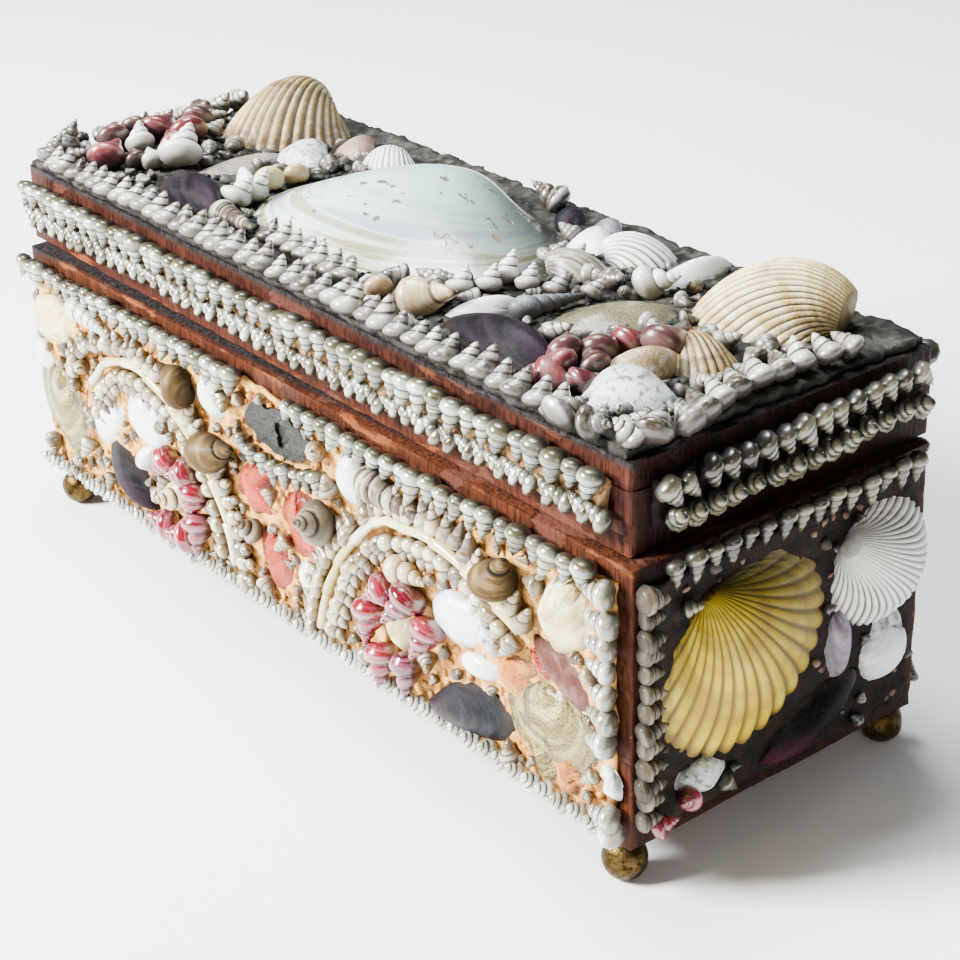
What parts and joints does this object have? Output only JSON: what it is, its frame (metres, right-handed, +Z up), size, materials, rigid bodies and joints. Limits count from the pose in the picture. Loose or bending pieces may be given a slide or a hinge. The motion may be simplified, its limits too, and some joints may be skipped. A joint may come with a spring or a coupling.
{
  "type": "shell-covered keepsake box",
  "caption": "Long wooden keepsake box with a loose lid, ball feet and a covering of sea shells pressed into putty.",
  "frame": {"origin": "middle of the footprint of the whole piece, at the level the feet stand on", "axes": "+X along the length of the box towards its right end as seen from the front, +Y from the front with the lock plate to the back, +Z up"},
  "size_m": [0.3288, 0.1312, 0.1407],
  "materials": {
    "papered_wood": "red-brown paper and stain over softwood, rubbed at the arrises",
    "lid_wood": "red-brown paper and stain over softwood, worn to orange wood at the corners",
    "brass": "dull aged brass",
    "dull_metal": "dull grey, lightly pitted",
    "putty": "dry peach-coloured putty",
    "dark_putty": "dirty brown-grey putty and glue",
    "cockle_brown": "ribbed tan shell with brown grooves",
    "cockle_cream": "ribbed cream shell with a grid of growth lines",
    "pearl": "polished white mother-of-pearl",
    "mussel": "glossy purple-black shell",
    "oyster": "olive-yellow nacre with a dull rim",
    "white_shell": "satin white shell",
    "violet_shell": "satin pale violet shell",
    "grey_shell": "dull grey-brown shell",
    "cream_shell": "satin cream shell",
    "jingle": "translucent coral-pink shell",
    "scallop": "yellow ribbed shell",
    "tan_shell": "satin tan banded shell"
  },
  "bodies": {
    "root": {"box_body": "papered_wood", "lid": "lid_wood", "foot_front_left": "brass", "foot_front_right": "brass", "foot_back_left": "brass", "foot_back_right": "brass", "lock_plate": "dull_metal", "bed_front": "putty", "bed_back": "putty", "bed_right": "dark_putty", "bed_left": "dark_putty", "lid_band_front": "putty", "lid_band_back": "putty", "lid_band_right": "putty", "lid_band_left": "putty", "lid_bed_top": "dark_putty", "lid_cockle_left": "cockle_brown", "lid_cockle_right": "cockle_cream", "lid_pearl_valve": "pearl", "lid_mussel_left": "mussel", "lid_mussel_middle": "mussel", "lid_oyster_plate": "oyster", "lid_small_cockle": "cockle_brown", "lid_white_clam": "white_shell", "lid_ribbed_cockle": "white_shell", "lid_violet_clam": "violet_shell", "lid_slipper_shell": "grey_shell", "lid_long_valve": "white_shell", "lid_ark_shell": "white_shell", "lid_back_mussel": "mussel", "lid_auger_left": "grey_shell", "lid_auger_middle": "grey_shell", "front_cream_plate_left": "cream_shell", "front_oyster_left": "oyster", "front_tellin_far_left": "white_shell", "front_tellin_left": "white_shell", "front_mussel_left": "mussel", "front_tellin_upper_left": "white_shell", "front_jingle_left": "jingle", "front_jingle_low": "jingle", "front_jingle_middle": "jingle", "front_tellin_middle": "white_shell", "front_tellin_right": "white_shell", "front_tellin_low_right": "white_shell", "front_mussel_right": "mussel", "front_cream_plate_right": "cream_shell", "front_jingle_right": "jingle", "front_oyster_right": "oyster", "front_banded_snail": "tan_shell", "front_periwinkle": "tan_shell", "front_whelk": "tan_shell", "right_scallop": "scallop", "right_cockle": "white_shell", "right_limpet": "white_shell", "right_mussel": "mussel", "left_scallop": "scallop", "left_cockle": "cockle_cream", "back_scallop": "scallop", "back_mussel_left": "mussel", "back_mussel_right": "mussel"}
  },
  "joints": []
}
